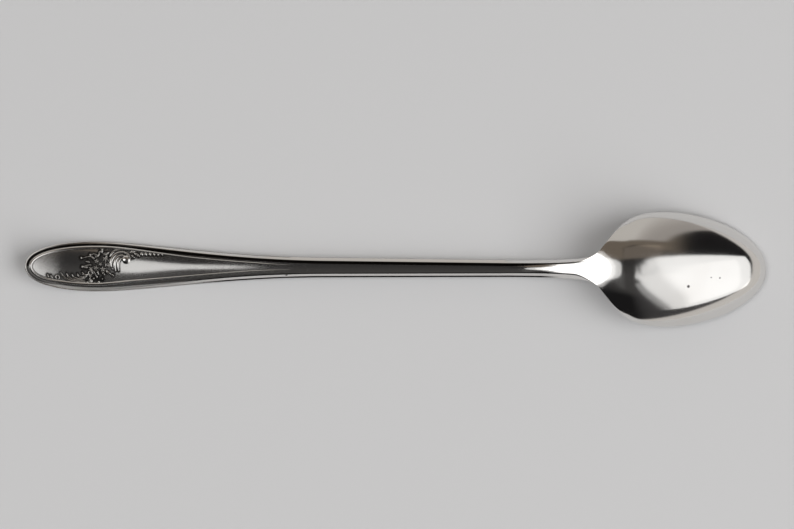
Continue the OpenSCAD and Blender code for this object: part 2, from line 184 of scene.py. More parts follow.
class Curve:
    """Cubic curve from four points, each a distance along the spoon and a width or height."""

    def __init__(self, *points):
        self.points = np.array(points, float)

    def at(self, t):
        """Points at the shares t of the curve."""
        t = np.asarray(t, float)[..., None]
        a, b, c, d = self.points
        return a * (1 - t) ** 3 + 3 * b * (1 - t) ** 2 * t + 3 * c * (1 - t) * t * t + d * t ** 3

    def height(self, along):
        """Width or height at a distance along the spoon, found by halving."""
        along = np.clip(np.asarray(along, float), self.points[0, 0], self.points[3, 0])
        low, high = np.zeros_like(along), np.ones_like(along)
        for _ in range(48):
            middle = (low + high) / 2
            before = self.at(middle)[..., 0] < along
            low, high = np.where(before, middle, low), np.where(before, high, middle)
        return self.at((low + high) / 2)[..., 1]


def ease(start, end, along):
    """Smooth step from 0 at start to 1 at end."""
    t = np.clip((np.asarray(along, float) - start) / (end - start), 0, 1)
    return t * t * (3 - 2 * t)


class Form:
    """Outline, profile and sections of the spoon; s is the distance from the handle end, q runs across."""

    def __init__(self, sizes, ornament):
        self.sizes, self.ornament = sizes, ornament
        z = sizes
        self.stem_at = z.handle_l
        self.neck_at = self.stem_at + z.stem_l
        self.bowl_at = self.neck_at + z.neck_l
        self.total = self.bowl_at + z.bowl_l
        self.wide_at = self.total - z.bowl_peak
        self.crest_at = self.bowl_at + z.crest_l
        self.dish_from = self.bowl_at + 2 * MM
        self.rest_from = min(22 * MM, z.handle_l)
        self.border_end = z.handle_l - 10 * MM
        self.dish_round = 7 * MM
        self.plan_curves()
        self.side_curves()

    def plan_curves(self):
        """Half outlines seen from above, of the spoon and of the dish inside the lip."""
        z = self.sizes
        taper = z.handle_l - z.handle_peak
        dish_w = z.bowl_w / 2 - z.lip_w
        end = self.total - z.lip_w
        self.end = Curve(
            (0, 0), (0, 0.36 * z.handle_w), (0.46 * z.handle_peak, z.handle_w / 2),
            (z.handle_peak, z.handle_w / 2))
        self.taper = Curve(
            (z.handle_peak, z.handle_w / 2), (z.handle_peak + 0.2 * taper, z.handle_w / 2),
            (z.handle_l - 0.45 * taper, z.stem_w / 2 + 0.1 * MM), (z.handle_l, z.stem_w / 2))
        self.neck = Curve(
            (self.neck_at, z.waist_w / 2), (self.bowl_at - 1.6 * MM, z.waist_w / 2),
            (self.bowl_at - 3.2 * MM, z.neck_w / 2 - 3.9 * MM), (self.bowl_at, z.neck_w / 2))
        self.shoulder = Curve(
            (self.bowl_at, z.neck_w / 2), (self.bowl_at + 3.7 * MM, z.neck_w / 2 + 4.5 * MM),
            (self.wide_at - 9.5 * MM, z.bowl_w / 2), (self.wide_at, z.bowl_w / 2))
        self.tip = Curve(
            (self.wide_at, z.bowl_w / 2), (self.wide_at + 0.45 * z.bowl_peak, z.bowl_w / 2),
            (self.total, 0.295 * z.bowl_w), (self.total, 0))
        self.dish_rear = Curve(
            (self.dish_from, 0), (self.dish_from, 0.31 * z.bowl_w), (self.wide_at - 8.5 * MM, dish_w),
            (self.wide_at, dish_w))
        self.dish_tip = Curve(
            (self.wide_at, dish_w), (self.wide_at + 0.45 * z.bowl_peak, dish_w), (end, 0.28 * z.bowl_w),
            (end, 0))

    def side_curves(self):
        """Profiles seen from the side: the underside with the bowl's rim, and the crest of the back."""
        z = self.sizes
        self.thicken = Curve(
            (self.rest_from, z.handle_t), (self.rest_from + 6 * MM, z.handle_t),
            (self.stem_at - 25 * MM, z.stem_t), (self.stem_at, z.stem_t))
        self.neck_rise = Curve(
            (self.neck_at, 0), (self.neck_at + 12 * MM, 0), (self.bowl_at - 7 * MM, z.neck_lift),
            (self.bowl_at, z.neck_lift))
        self.rim_fall = Curve(
            (self.bowl_at, z.neck_lift), (self.bowl_at + 3 * MM, z.neck_lift),
            (self.total - 14.5 * MM, 1 * MM), (self.total, 0))
        self.crest_rise = Curve(
            (self.neck_at, z.stem_t), (self.neck_at + 14 * MM, z.stem_t),
            (self.crest_at - 10 * MM, z.crest_h), (self.crest_at, z.crest_h))
        self.crest_fall = Curve(
            (self.crest_at, z.crest_h), (self.crest_at + 6 * MM, z.crest_h),
            (self.total - 2.5 * MM, 0.68 * z.crest_h), (self.total, z.lip_h))

    def half_width(self, s):
        z = self.sizes
        straight = z.stem_w / 2 + (z.waist_w - z.stem_w) / 2 * (s - self.stem_at) / z.stem_l
        return np.select(
            [s < z.handle_peak, s < self.stem_at, s < self.neck_at, s < self.bowl_at, s < self.wide_at],
            [self.end.height(s), self.taper.height(s), straight, self.neck.height(s),
             self.shoulder.height(s)],
            self.tip.height(s))

    def underside(self, s):
        lift = self.sizes.end_lift * np.clip(1 - s / self.rest_from, 0, 1) ** 2
        return np.where(s < self.bowl_at, lift + self.neck_rise.height(s), self.rim_fall.height(s))

    def thickness(self, s):
        crest = np.where(s < self.crest_at, self.crest_rise.height(s), self.crest_fall.height(s))
        return np.where(s < self.neck_at, self.thicken.height(s), crest - self.underside(s))

    def crown(self, s):
        """Crown of the panel: slight at the handle end, full in the middle, none on the stem."""
        first, second, third = CROWN_SHARES
        rise = first + second * ease(*CROWN_REACH[0], s) + third * ease(*CROWN_REACH[1], s)
        return self.ornament.crown * rise * (1 - ease(*CROWN_REACH[2], s))

    def bowl_share(self, s):
        return ease(self.bowl_at - ROUND_REACH[0], self.bowl_at + ROUND_REACH[1], s)

    def border(self, s):
        return self.ornament.border_h * (1 - ease(0.55 * self.sizes.handle_l, self.sizes.handle_l, s))

    def front_z(self, s):
        return self.underside(s) + self.border(s)

    def back_z(self, s, w, q):
        """Height of the back, blended between the handle's panel, the bevelled strap and the round bowl."""
        z = self.sizes
        b = self.bowl_share(s)
        thick = self.thickness(s)
        panel = self.crown(s) * (2 * w * q / z.handle_w) ** 2
        bowl = (thick - z.lip_h) * (1 - bowl_shape(q))
        hump = ease(self.neck_at + STRAP_RISE[0], self.neck_at + STRAP_RISE[1], s) * (
            1 - ease(self.bowl_at - STRAP_FALL[0], self.bowl_at - STRAP_FALL[1], s))
        strap = z.strap_crown * (STEM_CROWN + (1 - STEM_CROWN) * hump) * q * q
        flat = self.underside(s) + thick - self.border(s)
        return flat - panel - b * bowl - (1 - b) * strap - self.bevel(s, w, q)

    def bevel(self, s, w, q):
        """Drop of the bevels along the edges, deeper on the near side; they widen along the handle."""
        z = self.sizes
        wide = np.where(q > 0, FAR_BEVEL[0], NEAR_BEVEL[0]) * z.bevel_w
        deep = np.where(q > 0, FAR_BEVEL[1], NEAR_BEVEL[1]) * z.stem_bevel
        fade = ease(self.bowl_at - BEVEL_FADE[0], self.bowl_at - BEVEL_FADE[1], s)
        run = ease(*BEVEL_REACH, s) * (1 - fade)
        soft = 0.06 * run + 0.001
        return deep * soft * np.log1p(np.exp(np.clip((run - (1 - np.abs(q)) * w / wide) / soft, -40, 40)))

    def dish_height(self, s):
        """Depth of the dish above the rim, rounded towards both ends."""
        near = np.minimum(s - self.dish_from, self.total - self.sizes.lip_w - s)
        u = np.clip(near / self.dish_round, 0, 1)
        return (self.thickness(s) - self.sizes.wall) * np.sqrt(1 - (1 - u) ** 2)

    def x(self, s):
        return s + cad_low.x

    def ring(self, s, w):
        """Closed sections at the places s with half widths w, back first, then the front with round edges."""
        s, w = np.asarray(s, float)[:, None], np.asarray(w, float)[:, None]
        radius = np.minimum(self.sizes.front_bevel * (1 - 0.6 * self.bowl_share(s)), 0.4 * w)
        low = self.front_z(s)
        turn = np.linspace(0, math.pi / 2, CORNER_POINTS)[None, :]
        corner_y, corner_z = w - radius + radius * np.cos(turn), low + radius - radius * np.sin(turn)
        inside = np.linspace(1, -1, FRONT_POINTS + 2)[None, 1:-1] * (w - radius)
        y = np.concatenate([w * ACROSS, corner_y, inside, -corner_y[:, ::-1]], axis=1)
        z = np.concatenate([self.back_z(s, w, ACROSS), corner_z, low + 0 * inside, corner_z[:, ::-1]], axis=1)
        return np.stack([self.x(s) + 0 * y, y, z], axis=-1)

    def on_back(self, s, y):
        """Point of the back at a place along and across the spoon."""
        s = np.array([s])
        w = self.half_width(s)
        return float(self.x(s)[0]), float(y), float(self.back_z(s, w, np.clip(y / w, -1, 1))[0])

    def on_panel(self, places, side=1):
        """Points of the panel at places along and across the handle; side -1 is the front, turned over."""
        places = np.asarray(places, float)
        s, y = places[..., 0], places[..., 1]
        w = self.half_width(np.maximum(s, 0.02 * MM))
        z = self.back_z(s, w, np.clip(y / w, -1, 1)) if side > 0 else self.front_z(s)
        return np.stack([self.x(s), side * y, z], axis=-1)


def bowl_shape(q):
    """Section of the bowl: full in the middle, steep at the rim."""
    return (1 - np.abs(q) ** 2.8) ** 0.85


BACK_POINTS = 96
CORNER_POINTS = 5
FRONT_POINTS = 13
SECTION_POINTS = BACK_POINTS + 1 + 2 * CORNER_POINTS + FRONT_POINTS
ACROSS = np.sin(math.pi / 2 * np.linspace(-1, 1, BACK_POINTS + 1))[None, :]


def spoon_form():
    scene = bpy.context.scene
    return Form(scene.spoon_sizes, scene.spoon_ornament)


def mesh_object(name, points, faces, edges=()):
    """New object from points, faces and edges."""
    mesh = bpy.data.meshes.new(name)
    mesh.from_pydata([tuple(p) for p in points], [tuple(e) for e in edges], [tuple(f) for f in faces])
    piece = bpy.data.objects.new(name, mesh)
    bpy.context.scene.collection.objects.link(piece)
    return piece


def close_up(piece):
    """Merges doubled points and drops faces without area, so that ends and poles are closed."""
    work = bmesh.new()
    work.from_mesh(piece.data)
    bmesh.ops.remove_doubles(work, verts=work.verts, dist=1e-7)
    bmesh.ops.dissolve_degenerate(work, edges=work.edges, dist=1e-8)
    work.to_mesh(piece.data)
    work.free()


def shade_smooth(piece, angle=32):
    """Smooth shading that keeps edges sharper than the angle."""
    piece.data.shade_smooth()
    piece.data.set_sharp_from_angle(angle=math.radians(angle))


def seam_normals(form, piece, places):
    """Gives the back of the sections at these places the normals of the whole spoon, so no seam shows."""
    mesh = piece.data
    corners = np.zeros((len(mesh.loops), 3), np.float32)
    mesh.corner_normals.foreach_get("vector", corners.ravel())
    owner = np.zeros(len(mesh.loops), int)
    mesh.loops.foreach_get("vertex_index", owner)
    points = np.zeros((len(mesh.vertices), 3), np.float32)
    mesh.vertices.foreach_get("co", points.ravel())
    step = 0.02 * MM
    for s in places:
        near = np.array([s - step, s, s + step])
        rings = form.ring(near, form.half_width(near))[:, :BACK_POINTS + 1]
        along = rings[2] - rings[0]
        around = np.gradient(rings[1], axis=0)
        normals = np.cross(along, around)
        normals /= np.linalg.norm(normals, axis=1)[:, None]
        for ring_point, normal in list(zip(rings[1], normals))[2:-2]:
            vertex = np.flatnonzero(np.abs(points - ring_point).max(axis=1) < 1e-6)
            here = np.flatnonzero(np.isin(owner, vertex) & (corners @ normal > 0.8))
            corners[here] = normal
    mesh.normals_split_custom_set(corners.tolist())


def skin(rows, cols):
    """Quads of a grid of rows whose columns close round."""
    return [(i * cols + j, (i + 1) * cols + j, (i + 1) * cols + (j + 1) % cols, i * cols + (j + 1) % cols)
            for i in range(rows - 1) for j in range(cols)]


def loft(name, form, s, w):
    """Closed body through the sections at s, with both ends capped."""
    rings = form.ring(s, w)
    rows, cols = rings.shape[:2]
    first = tuple(range(cols))
    last = tuple((rows - 1) * cols + j for j in reversed(range(cols)))
    return mesh_object(name, rings.reshape(-1, 3), skin(rows, cols) + [first, last])


def attribute(piece, name, values):
    """Stores one number for each point of a piece."""
    layer = piece.data.attributes.new(name, "FLOAT", "POINT")
    layer.data.foreach_set("value", np.asarray(values, np.float32))


def finish_piece(piece, node):
    """Attaches a piece to the body that carries it and hides the solid that it stands for."""
    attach(piece, BODY)
    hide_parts(node)


class Value:
    """A socket of a node tree that takes part in sums."""

    def __init__(self, tree, socket):
        self.tree, self.socket = tree, socket

    def math(self, operation, *others):
        return self.tree.add("ShaderNodeMath", {"operation": operation}, dict(enumerate((self, *others))))

    def flipped(self, operation, other):
        return self.tree.add("ShaderNodeMath", {"operation": operation}, {0: other, 1: self})

    def __add__(self, other):
        return self.math("ADD", other)

    def __sub__(self, other):
        return self.math("SUBTRACT", other)

    def __rsub__(self, other):
        return self.flipped("SUBTRACT", other)

    def __mul__(self, other):
        return self.math("MULTIPLY", other)

    def __truediv__(self, other):
        return self.math("DIVIDE", other)

    def __rtruediv__(self, other):
        return self.flipped("DIVIDE", other)

    __radd__ = __add__
    __rmul__ = __mul__

    def larger(self, other):
        return self.math("MAXIMUM", other)

    def step(self, start, end):
        """Smooth step from 0 at start to 1 at end."""
        return self.tree.add(
            "ShaderNodeMapRange", {"interpolation_type": "SMOOTHSTEP"},
            {"Value": self, "From Min": start, "From Max": end})


class Tree:
    """Adds nodes to a node tree."""

    def __init__(self, nodes):
        self.nodes = nodes

    def add(self, kind, settings=None, sockets=None, output=0):
        """One node: its settings first, then the values or links of its sockets."""
        node = self.nodes.nodes.new(kind)
        for name, value in (settings or {}).items():
            setattr(node, name, value)
        for name, value in (sockets or {}).items():
            self.join(value, node.inputs[name])
        return Value(self, node.outputs[output]) if node.outputs else node

    def join(self, value, socket):
        """Links a value to a socket, or sets the socket to a plain value."""
        if isinstance(value, Value):
            self.nodes.links.new(value.socket, socket)
        else:
            socket.default_value = value

    def mix(self, factor, first, second):
        """Mix of two colours."""
        node = self.nodes.nodes.new("ShaderNodeMix")
        node.data_type = "RGBA"
        colours = [s for s in node.inputs if s.type == "RGBA"]
        self.join(factor, node.inputs[0])
        for colour, socket in zip((first, second), colours):
            self.join(colour if isinstance(colour, Value) else (*colour, 1), socket)
        return Value(self, next(s for s in node.outputs if s.type == "RGBA"))


class Maker:
    """A Geometry Nodes tree with named inputs that is run on an object once."""

    def __init__(self, name, sockets):
        self.group = bpy.data.node_groups.new(name, "GeometryNodeTree")
        self.group.interface.new_socket("Geometry", in_out="OUTPUT", socket_type="NodeSocketGeometry")
        self.group.interface.new_socket("Geometry", in_out="INPUT", socket_type="NodeSocketGeometry")
        self.ids = {
            label: self.group.interface.new_socket(label, in_out="INPUT", socket_type=kind).identifier
            for label, kind in sockets.items()}
        self.tree = Tree(self.group)
        self.given = self.group.nodes.new("NodeGroupInput")

    def input(self, label):
        return Value(self.tree, self.given.outputs[label])

    def end(self, geometry):
        """Last nodes: smooth shading, real geometry and the finish."""
        smooth = self.tree.add("GeometryNodeSetShadeSmooth", None, {"Geometry": geometry})
        real = self.tree.add("GeometryNodeRealizeInstances", None, {"Geometry": smooth})
        done = self.tree.add(
            "GeometryNodeSetMaterial", None, {"Geometry": real, "Material": self.input("Finish")})
        self.tree.add("NodeGroupOutput", None, {"Geometry": done})

    def run(self, piece, **values):
        """Runs the tree on an object and keeps the result as the object's plain mesh."""
        modifier = piece.modifiers.new(self.group.name, "NODES")
        modifier.node_group = self.group
        for label, value in values.items():
            modifier[self.ids[label]] = value
        shown = piece.evaluated_get(bpy.context.evaluated_depsgraph_get())
        made = bpy.data.meshes.new_from_object(shown)
        piece.modifiers.remove(modifier)
        old, piece.data = piece.data, made
        bpy.data.meshes.remove(old)
        made.name = piece.name
        if not made.polygons:
            raise RuntimeError(f"{piece.name} came out empty")
        return piece


def ridge_maker():
    """Rounded ridge along each path, with the girth that its points carry."""
    maker = Maker("Ridge along a path", {
        "Width": "NodeSocketFloat", "Height": "NodeSocketFloat", "Finish": "NodeSocketMaterial"})
    tree = maker.tree
    path = tree.add("GeometryNodeMeshToCurve", None, {"Mesh": maker.input("Geometry")})
    level = tree.add("GeometryNodeSetCurveNormal", {"mode": "Z_UP"}, {"Curve": path})
    circle = tree.add("GeometryNodeCurvePrimitiveCircle", None, {"Resolution": 20, "Radius": 1.0})
    place = tree.add("GeometryNodeInputPosition")
    # Dark foot of each ridge: tarnish in the hollow with painted shade where it meets the ground
    down = tree.add("ShaderNodeSeparateXYZ", None, {"Vector": place}, "Y")
    depth = ((down + 0.3) / 0.3).larger(0.0)
    marked = tree.add(
        "GeometryNodeStoreNamedAttribute", {"data_type": "FLOAT", "domain": "POINT"},
        {"Geometry": circle, "Name": "recess", "Value": depth})
    size = tree.add(
        "ShaderNodeCombineXYZ", None, {"X": maker.input("Width") * 0.5, "Y": maker.input("Height"), "Z": 1.0})
    profile = tree.add("GeometryNodeTransform", None, {"Geometry": marked, "Scale": size})
    girth = tree.add("GeometryNodeInputNamedAttribute", {"data_type": "FLOAT"}, {"Name": "girth"})
    swept = tree.add(
        "GeometryNodeCurveToMesh", None,
        {"Curve": level, "Profile Curve": profile, "Scale": girth, "Fill Caps": True})
    maker.end(swept)
    return maker


def stud_maker():
    """One stud on each place, with the turn and size that the place carries."""
    maker = Maker("Studs on places", {"Stud": "NodeSocketObject", "Finish": "NodeSocketMaterial"})
    tree = maker.tree
    stud = tree.add("GeometryNodeObjectInfo", None, {"Object": maker.input("Stud")}, "Geometry")
    turn = tree.add("GeometryNodeInputNamedAttribute", {"data_type": "FLOAT_VECTOR"}, {"Name": "turn"})
    size = tree.add("GeometryNodeInputNamedAttribute", {"data_type": "FLOAT_VECTOR"}, {"Name": "size"})
    rotation = tree.add("FunctionNodeEulerToRotation", None, {"Euler": turn})
    placed = tree.add(
        "GeometryNodeInstanceOnPoints", None,
        {"Points": maker.input("Geometry"), "Instance": stud, "Rotation": rotation, "Scale": size})
    maker.end(placed)
    return maker


def smooth_path(points, steps=8):
    """Smooth path through a few given points, in millimetres."""
    p = np.asarray(points, float)
    p = np.vstack([2 * p[0] - p[1], p, 2 * p[-1] - p[-2]])
    t = np.linspace(0, 1, steps, endpoint=False)[:, None]
    parts = []
    for a, b, c, d in zip(p, p[1:], p[2:], p[3:]):
        parts.append(0.5 * (2 * b + (c - a) * t + (2 * a - 5 * b + 4 * c - d) * t ** 2
                            + (3 * b - a - 3 * c + d) * t ** 3))
    return np.vstack([*parts, p[-2:-1]])


def swell(n, ends=0.25, peak=0.5):
    """Girth along a path: thin at both ends, full at the peak."""
    t = np.linspace(0, 1, n)
    t = np.where(t < peak, t / peak / 2, 0.5 + (t - peak) / (1 - peak) / 2)
    return ends + (1 - ends) * np.sin(math.pi * t) ** 0.7


def ridges(name, paths, girths, width, height, finish):
    """Ridges along the paths, as one piece."""
    points = np.vstack(paths)
    starts = np.cumsum([0] + [len(p) for p in paths])
    edges = [(k, k + 1) for a, b in zip(starts, starts[1:]) for k in range(a, b - 1)]
    piece = mesh_object(name, points, [], edges)
    attribute(piece, "girth", np.concatenate(girths))
    return ridge_maker().run(piece, Width=width, Height=height, Finish=finish)


def stud(name, outline, height, rings=7, around=32, sunk=0.35):
    """Closed stud on a unit base, from an outline by angle and a height by share of the radius and angle."""
    angles = np.linspace(0, 2 * math.pi, around, endpoint=False)
    edge = np.array([outline(a) for a in angles])
    points = [(0, 0, height(0, 0))]
    for k in range(1, rings + 1):
        r = math.sin(math.pi / 2 * k / rings)
        points += [(x * r, y * r, height(r, a)) for (x, y), a in zip(edge, angles)]
    points += [(x, y, -sunk) for x, y in edge] + [(0, 0, -sunk)]
    faces = [(0, 1 + j, 1 + (j + 1) % around) for j in range(around)]
    for k in range(rings):
        a, b = 1 + k * around, 1 + (k + 1) * around
        faces += [(a + j, b + j, b + (j + 1) % around, a + (j + 1) % around) for j in range(around)]
    low, last = 1 + rings * around, len(points) - 1
    faces += [(low + (j + 1) % around, low + j, last) for j in range(around)]
    unit = mesh_object(name, points, faces)
    # Dark foot of each stud: tarnish in the hollow with painted shade where it meets the ground
    attribute(unit, "recess", [max(0.0, min(1.0, 1 - p[2] / 0.22)) for p in points])
    return unit


def round_stud():
    """Bead, ball or bud."""
    return stud("unit_bead", lambda a: (math.cos(a), math.sin(a)), lambda r, a: math.sqrt(max(0, 1 - r * r)))


def blossom_stud():
    """Five petals round a button."""
    def lobe(a):
        return 0.5 + 0.5 * math.cos(5 * a)

    def outline(a):
        r = 0.56 + 0.44 * lobe(a)
        return r * math.cos(a), r * math.sin(a)

    def height(r, a):
        petal = math.sin(math.pi * min(1, max(0, (r - 0.16) / 0.84)) ** 0.9)
        button = max(0, 1 - (r / 0.3) ** 2)
        return 0.85 * petal * (0.08 + 0.92 * lobe(a)) + 0.8 * button

    return stud("unit_blossom", outline, height, rings=10, around=50)


def leaf_stud():
    """Pointed leaf with a sunk midrib."""
    def outline(a):
        return math.cos(a), 0.42 * math.sin(a) * abs(math.sin(a)) ** 0.6

    def height(r, a):
        across = r * math.sin(a)
        return math.sqrt(max(0, 1 - r * r)) * (1 - 0.45 * math.exp(-(across / 0.16) ** 2))

    return stud("unit_leaf", outline, height, rings=8, around=40)


def studs(name, unit, form, places, height, finish, side=1):
    """Studs on places of the panel, each a distance along and across, a length, a width and a turn, in mm."""
    places = np.asarray(places, float)
    relief = 1 if side > 0 else form.ornament.front_relief
    piece = mesh_object(name, form.on_panel(places[:, :2] * MM, side), [])
    flip = 0 if side > 0 else math.pi
    turns = [(flip, 0, math.radians(p[4]) * side) for p in places]
    sizes = [(p[2] * MM, p[3] * MM, height * relief) for p in places]
    for label, values in (("turn", turns), ("size", sizes)):
        layer = piece.data.attributes.new(label, "FLOAT_VECTOR", "POINT")
        layer.data.foreach_set("vector", np.array(values, np.float32).ravel())
    stud_maker().run(piece, Stud=unit, Finish=finish)
    shape = unit.data
    bpy.data.objects.remove(unit)
    bpy.data.meshes.remove(shape)
    return piece


# Ornament, drawn on the panel in millimetres along and across
SCROLL_LINES = (
    (((22.3, -0.75), (21.75, 0.3), (21.95, 1.7), (22.7, 2.85), (23.9, 3.5), (25.2, 3.55), (26.3, 3.0),
      (26.9, 2.1)), 0.8),
    (((22.95, -1.15), (22.75, 0.2), (22.95, 1.55), (23.6, 2.4), (24.6, 2.8), (25.4, 2.65)), 0.8),
    (((23.75, -1.15), (23.65, 0.2), (23.75, 1.3), (24.2, 1.9), (24.7, 2.05)), 0.65),
    (((21.5, 2.5), (22.1, 3.5), (23.1, 4.1), (24.7, 4.25)), 0.5))
BALL = ((25.75, 1.75, 1.12, 1.12, 0),)
SCROLL_LEAVES = (
    (27.3, 3.75, 0.75, 0.8, 10), (28.3, 3.2, 0.75, 0.7, -15), (27.5, 2.6, 0.6, 0.7, -40),
    (28.9, 2.75, 0.45, 0.6, -20))
BEAD_FROM, BEAD_TO, BEAD_COUNT = (29.7, 3.2), (35.0, 3.1), 6
BEAD_LARGE, BEAD_SMALL = 0.46, 0.27
BLOSSOMS = (
    (20.3, 1.9, 0.8, 0), (21.6, 1.4, 0.7, 25), (21.3, 0.3, 0.75, 50), (18.1, 1.3, 0.7, 10),
    (16.6, -0.7, 0.7, 40), (17.9, -0.4, 0.7, 70), (19.7, -0.7, 0.8, 20), (19.1, 0.6, 0.6, 55),
    (18.0, 2.6, 0.5, 15), (16.5, -2.3, 0.6, 30), (20.2, 3.2, 0.55, 5))
SPRAY_LEAVES = (
    (21.1, -1.5, 0.85, 0.8, -37), (18.6, 2.9, 0.7, 0.6, 60), (19.2, 3.8, 0.7, 0.6, 20),
    (20.8, 3.3, 0.7, 0.6, 35), (15.8, 1.2, 0.6, 0.55, 165), (17.2, 2.1, 0.55, 0.5, 150),
    (15.4, -0.3, 0.6, 0.55, 190), (17.0, -1.5, 0.6, 0.6, -65), (18.5, -1.6, 0.65, 0.6, -75),
    (19.9, -1.8, 0.6, 0.6, -45), (22.3, -2.2, 0.5, 0.5, -35), (20.7, 2.5, 0.45, 0.5, 80))
STALKS = (
    ((17.6, 2.3), (16.4, 2.5), (14.6, 2.2)), ((16.8, 0.4), (15.8, 0.3), (14.8, -0.1)),
    ((18.2, 3.0), (17.4, 3.2), (16.8, 3.0)), ((19.4, 3.3), (19.6, 3.9), (19.5, 4.2)),
    ((16.3, -1.2), (16.0, -1.7), (16.4, -2.2)), ((17.4, -1.0), (17.8, -2.0), (18.2, -2.6)),
    ((16.6, -2.6), (16.4, -3.2), (16.6, -3.7)), ((20.3, 1.2), (20.5, 0.5), (20.2, -0.1)))
BUDS = (
    (14.2, 2.15, 0.32), (16.5, 2.95, 0.34), (14.5, -0.1, 0.34), (19.5, 4.25, 0.3), (16.7, -3.75, 0.5),
    (15.8, -4.15, 0.34), (18.7, -4.0, 0.36), (18.2, -2.7, 0.32), (17.4, -3.1, 0.28), (19.6, -3.2, 0.22))
FAN = (
    ((9.0, -1.5), (9.8, -2.7), (11.1, -3.5), (13.1, -3.95), (15.3, -4.0)),
    ((10.5, -1.8), (11.2, -2.9), (12.6, -3.5), (15.1, -3.6)),
    ((11.8, -2.0), (12.4, -2.8), (13.5, -3.2), (15.2, -3.15)),
    ((13.2, -1.9), (13.6, -2.5), (14.4, -2.85), (15.7, -2.6)),
    ((14.5, -1.5), (14.8, -2.0), (15.4, -2.25), (16.1, -1.9)))
END_STROKES = (((5.7, -2.1), (5.8, -2.5), (6.1, -2.8)), ((6.5, -2.3), (6.7, -2.75), (7.1, -3.05)))
END_SCROLL_AT, END_SCROLL_R = (8.1, -2.8), 0.62
STALK_W, FAN_W, END_SCROLL_W = 0.3 * MM, 0.5 * MM, 0.42 * MM
# Height of the ball against the scroll's ridges, and of the stalks against the leaves
BALL_RISE, STALK_RISE = 1.5, 0.8
SCROLL = [(smooth_path(p), width) for p, width in SCROLL_LINES]


def end_scroll_paths():
    """Small open curl with two strokes beyond it."""
    angles = np.radians(np.linspace(-60, 270, 16))
    radius = END_SCROLL_R * np.linspace(1, 0.45, 16)
    s, y = END_SCROLL_AT
    curl = np.stack([s + radius * np.cos(angles), y + radius * np.sin(angles)], axis=1)
    return [curl] + [smooth_path(p) for p in END_STROKES]


def bead_places():
    """Beads along the border, shrinking towards the stem."""
    shares = np.linspace(0, 1, BEAD_COUNT)
    radius = BEAD_LARGE + (BEAD_SMALL - BEAD_LARGE) * shares
    (s, y), (s_to, y_to) = BEAD_FROM, BEAD_TO
    return [(s + (s_to - s) * k, y + (y_to - y) * k, r, r, 0) for k, r in zip(shares, radius)]


def blossom_places():
    return [(s, y, r, r, turn) for s, y, r, turn in BLOSSOMS]


def bud_places():
    return [(s, y, r, 0.85 * r, 30) for s, y, r in BUDS]


def outline_path(form, inset, steps=60):
    """Line round the handle at an inset from its edge, from one side of the stem to the other."""
    t = np.linspace(0, 1, steps + 1)
    reach = np.linspace(form.sizes.handle_peak, form.border_end, 2 * steps + 1)[1:]
    side = np.vstack([form.end.at(t ** 1.3), np.stack([reach, form.taper.height(reach)], axis=1)])
    edge = np.vstack([side[:0:-1] * (1, -1), side])
    d = np.gradient(edge, axis=0)
    d /= np.linalg.norm(d, axis=1)[:, None]
    path = edge + np.reshape(inset, (-1, 1)) * np.stack([d[:, 1], -d[:, 0]], axis=1)
    path[:, 0] = np.maximum(path[:, 0], inset)
    return path


def nearest(points, targets):
    """Distance from each point to the nearest target, both along and across."""
    found = np.full(len(points), 1.0)
    for target in targets:
        found = np.minimum(found, np.hypot(points[:, 0] - target[0], points[:, 1] - target[1]))
    return found


def rim_line(form):
    """Middle of the rim band and its girth: it thins where the stem's bevel takes over."""
    s = outline_path(form, 0)[:, 0]
    girth = 1 - 0.75 * ease(4 * MM, 24 * MM, s)
    return outline_path(form, form.ornament.rim_band * girth / 2), girth


def thread_line(form):
    """Middle of the thread and its girth: it moves inwards and narrows towards the stem."""
    o = form.ornament
    edge = outline_path(form, 0)
    s = edge[:, 0]
    run = ease(20 * MM, 45 * MM, s)
    near = 0.35 * ease(2 * MM, 10 * MM, s) + 0.35 * ease(18 * MM, 28 * MM, s)
    inwards = np.where(edge[:, 1] > 0, 0.6 * run, near) * MM
    middle = o.rim_band + o.groove_w + o.thread_w / 2 + inwards
    girth = (1 - 0.5 * run) * (1 - 0.8 * ease(form.border_end - 10 * MM, form.border_end, s))
    return outline_path(form, middle), girth


def plan_of(piece):
    """Places of a piece's points along and across the spoon, and which of them are on the back."""
    points = np.zeros((len(piece.data.vertices), 3), np.float32)
    piece.data.vertices.foreach_get("co", points.ravel())
    back = np.arange(len(points)) % SECTION_POINTS <= BACK_POINTS
    return np.stack([points[:, 0] - cad_low.x, points[:, 1]], axis=1), back


def dark_lines(form, plan, back):
    """Darkening along the edges: tarnish in the groove beside the rim, with painted shade that makes the far
    groove darker than the near one, a painted shaded band along the far bevel of the stem, and painted shade
    under the near edge where the stem turns down.
    """
    s, far = plan[:, 0], plan[:, 1] > 0
    inset = form.half_width(s) - np.abs(plan[:, 1])
    end = s < 30 * MM
    inset[end] = nearest(plan[end], outline_path(form, 0))
    run = ease(8 * MM, 30 * MM, s)
    thin = ease(form.neck_at, form.neck_at + 12 * MM, s)
    near = 0.45 + 0.65 * ease(3 * MM, 12 * MM, s)
    low = np.where(far, 0.45 + 0.3 * run, near) * MM
    high = np.where(far, 1.05 + 0.55 * run - 0.5 * thin, near + 0.5) * MM
    line = ease(low - 0.08 * MM, low + 0.06 * MM, inset)
    line = line * (1 - ease(high - 0.1 * MM, high + 0.12 * MM, inset))
    # Painted shade: the far side stays dark along the stem to the neck, while the near groove is lighter
    reach = np.where(
        far, 1 - ease(form.bowl_at - 9 * MM, form.bowl_at - 3 * MM, s),
        (0.9 - 0.5 * ease(3 * MM, 12 * MM, s)) * (1 - ease(form.border_end - 8 * MM, form.border_end, s)))
    # Painted shade along the near edge of the stem
    edge = (1 - ease(0.3 * MM, 0.46 * MM, inset)) * ease(40 * MM, 52 * MM, s)
    edge = edge * (1 - ease(form.neck_at + 8 * MM, form.neck_at + 14 * MM, s)) * ~far
    return np.maximum(line * reach, edge) * np.where(back, 1, 0.6)


